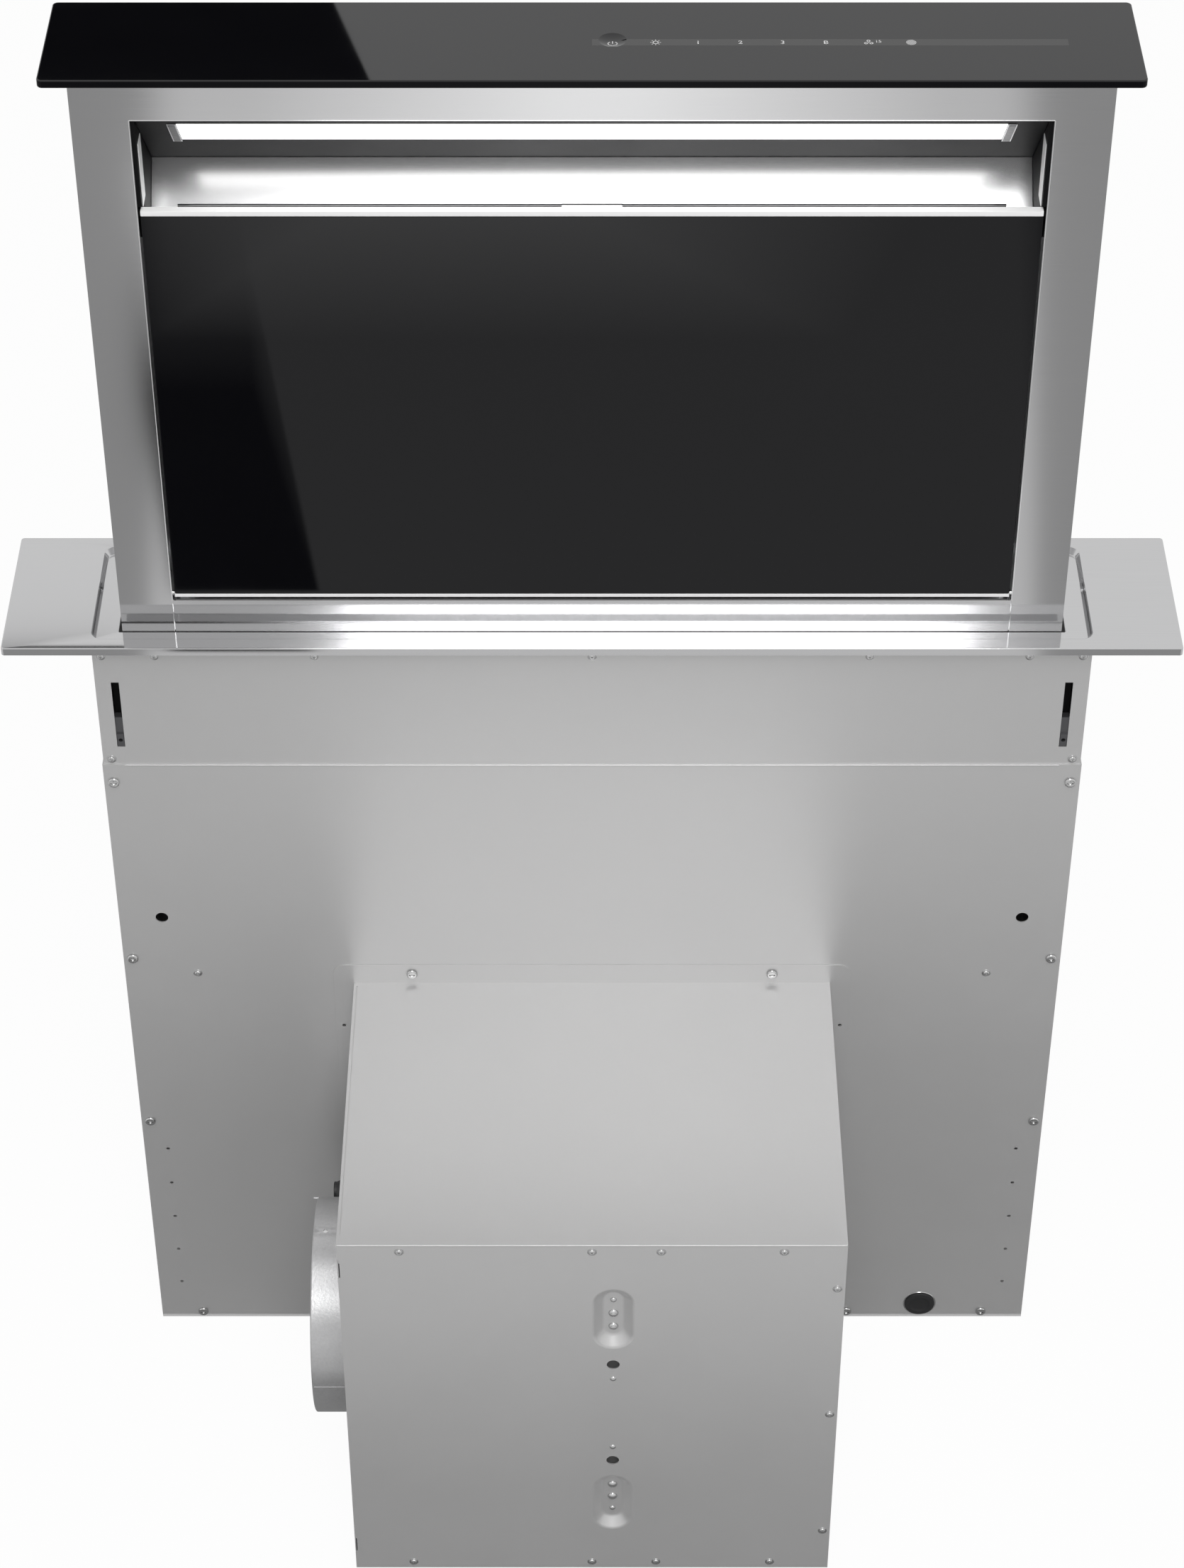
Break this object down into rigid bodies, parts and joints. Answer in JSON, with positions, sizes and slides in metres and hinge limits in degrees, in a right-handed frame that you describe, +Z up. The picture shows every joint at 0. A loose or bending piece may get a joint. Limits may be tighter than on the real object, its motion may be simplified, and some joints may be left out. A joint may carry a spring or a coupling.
{
  "type": "downdraft vent",
  "caption": "Built-in downdraft extractor: glass-capped canopy rising through a worktop plate, tilting front glass, sheet-metal housing and front blower box with a side exhaust collar.",
  "frame": {"origin": "centre of the worktop cut-out, on the worktop's upper face; the cover plate lies on it and the housing hangs below", "axes": "+Z up, front faces -Y, +X to the right seen from the front"},
  "size_m": [0.88, 0.412, 1.2265],
  "materials": {
    "steel": "brushed stainless steel",
    "galvanised": "plain zinc-coated sheet, satin",
    "black_glass": "black back-printed glass, polished",
    "lens": "frosted light diffuser",
    "black_trim": "black moulding, satin",
    "rubber": "black rubber",
    "filter_mesh": "perforated filter sheet",
    "fastener": "bright zinc plating",
    "cast": "cast, finely speckled",
    "flap_plastic": "dark moulded plastic",
    "rail": "drawn profile",
    "clamp": "dark plated block",
    "motor": "dark painted casing",
    "board": "green circuit board"
  },
  "bodies": {
    "housing": {"cover_plate": "steel", "hanger_frame": "galvanised", "band_front": "galvanised", "band_back": "galvanised", "band_sides": "galvanised", "housing_front": "galvanised", "housing_back": "galvanised", "housing_sides": "galvanised", "bottom_pan": "galvanised", "blower_flange": "galvanised", "rear_cover": "galvanised", "box_top": "galvanised", "box_bottom": "galvanised", "box_left": "galvanised", "box_right": "galvanised", "box_front": "galvanised", "motor_bracket": "galvanised", "control_box": "galvanised", "scroll_casing": "black_trim", "plate_gasket": "rubber", "slot_seal": "rubber", "cable_grommet": "rubber", "belts": "rubber", "rivets": "fastener", "screws": "fastener", "flap_pin": "fastener", "idler_axles": "fastener", "exhaust_collar": "cast", "shaft_bearings": "flap_plastic", "cable_gland": "flap_plastic", "guide_rails": "rail", "blower_motor": "motor", "lift_motor": "motor", "control_board": "board"},
    "canopy": {"cap_glass": "black_glass", "cap_tray": "galvanised", "touch_board": "board", "canopy_front": "steel", "canopy_sides": "steel", "canopy_rear": "steel", "light_housing": "black_trim", "light_lens": "lens", "led_board": "board", "intake_liners": "black_trim", "air_guide": "steel", "filter_holder": "galvanised", "grease_filters": "filter_mesh", "lift_carriages": "black_trim"},
    "front_glass": {"front_glass": "black_glass", "glass_carrier": "steel", "hinge_pins": "fastener"},
    "clamp_left": {"clamp_block_left": "clamp"},
    "clamp_right": {"clamp_block_right": "clamp"},
    "drive": {"lift_shaft": "fastener", "drive_pulleys": "flap_plastic"},
    "idler_left": {"idler_left": "flap_plastic"},
    "idler_right": {"idler_right": "flap_plastic"},
    "fan": {"impeller": "black_trim"},
    "flap_front": {"flap_front": "flap_plastic"},
    "flap_back": {"flap_back": "flap_plastic"}
  },
  "joints": [
    {"name": "canopy_lift", "type": "slide", "parent": "housing", "child": "canopy", "axis": [0, 0, 1], "range_m": [-0.4682, 0]},
    {"name": "front_glass_tilt", "type": "hinge", "parent": "canopy", "child": "front_glass", "pos_m": [0, -0.0388, 0.036], "axis": [1, 0, 0], "range_deg": [0, 25]},
    {"name": "clamp_left_slide", "type": "slide", "parent": "housing", "child": "clamp_left", "axis": [0, 0, 1], "range_m": [0, 0.05]},
    {"name": "clamp_right_slide", "type": "slide", "parent": "housing", "child": "clamp_right", "axis": [0, 0, 1], "range_m": [0, 0.05]},
    {"name": "fan_spin", "type": "hinge", "parent": "housing", "child": "fan", "pos_m": [0.0164, -0.198, -0.54025], "axis": [0, 1, 0], "continuous": true},
    {"name": "flap_front_swing", "type": "hinge", "parent": "housing", "child": "flap_front", "pos_m": [-0.214, -0.198, -0.574], "axis": [0, 0, -1], "range_deg": [0, 75], "stiffness_Nm_per_rad": 0.02},
    {"name": "flap_back_swing", "type": "hinge", "parent": "housing", "child": "flap_back", "pos_m": [-0.214, -0.198, -0.574], "axis": [0, 0, 1], "range_deg": [0, 75], "stiffness_Nm_per_rad": 0.02},
    {"name": "drive_spin", "type": "hinge", "parent": "housing", "child": "drive", "pos_m": [0, -0.016, -0.5602], "axis": [1, 0, 0], "continuous": true},
    {"name": "idler_left_spin", "type": "hinge", "parent": "housing", "child": "idler_left", "pos_m": [-0.362, -0.016, -0.036], "axis": [1, 0, 0], "continuous": true},
    {"name": "idler_right_spin", "type": "hinge", "parent": "housing", "child": "idler_right", "pos_m": [0.362, -0.016, -0.036], "axis": [1, 0, 0], "continuous": true}
  ],
  "couplings": [
    {"joint": "drive_spin", "follows": "canopy_lift", "rad_per_m": 90.09},
    {"joint": "idler_left_spin", "follows": "canopy_lift", "rad_per_m": 90.09},
    {"joint": "idler_right_spin", "follows": "canopy_lift", "rad_per_m": 90.09}
  ]
}
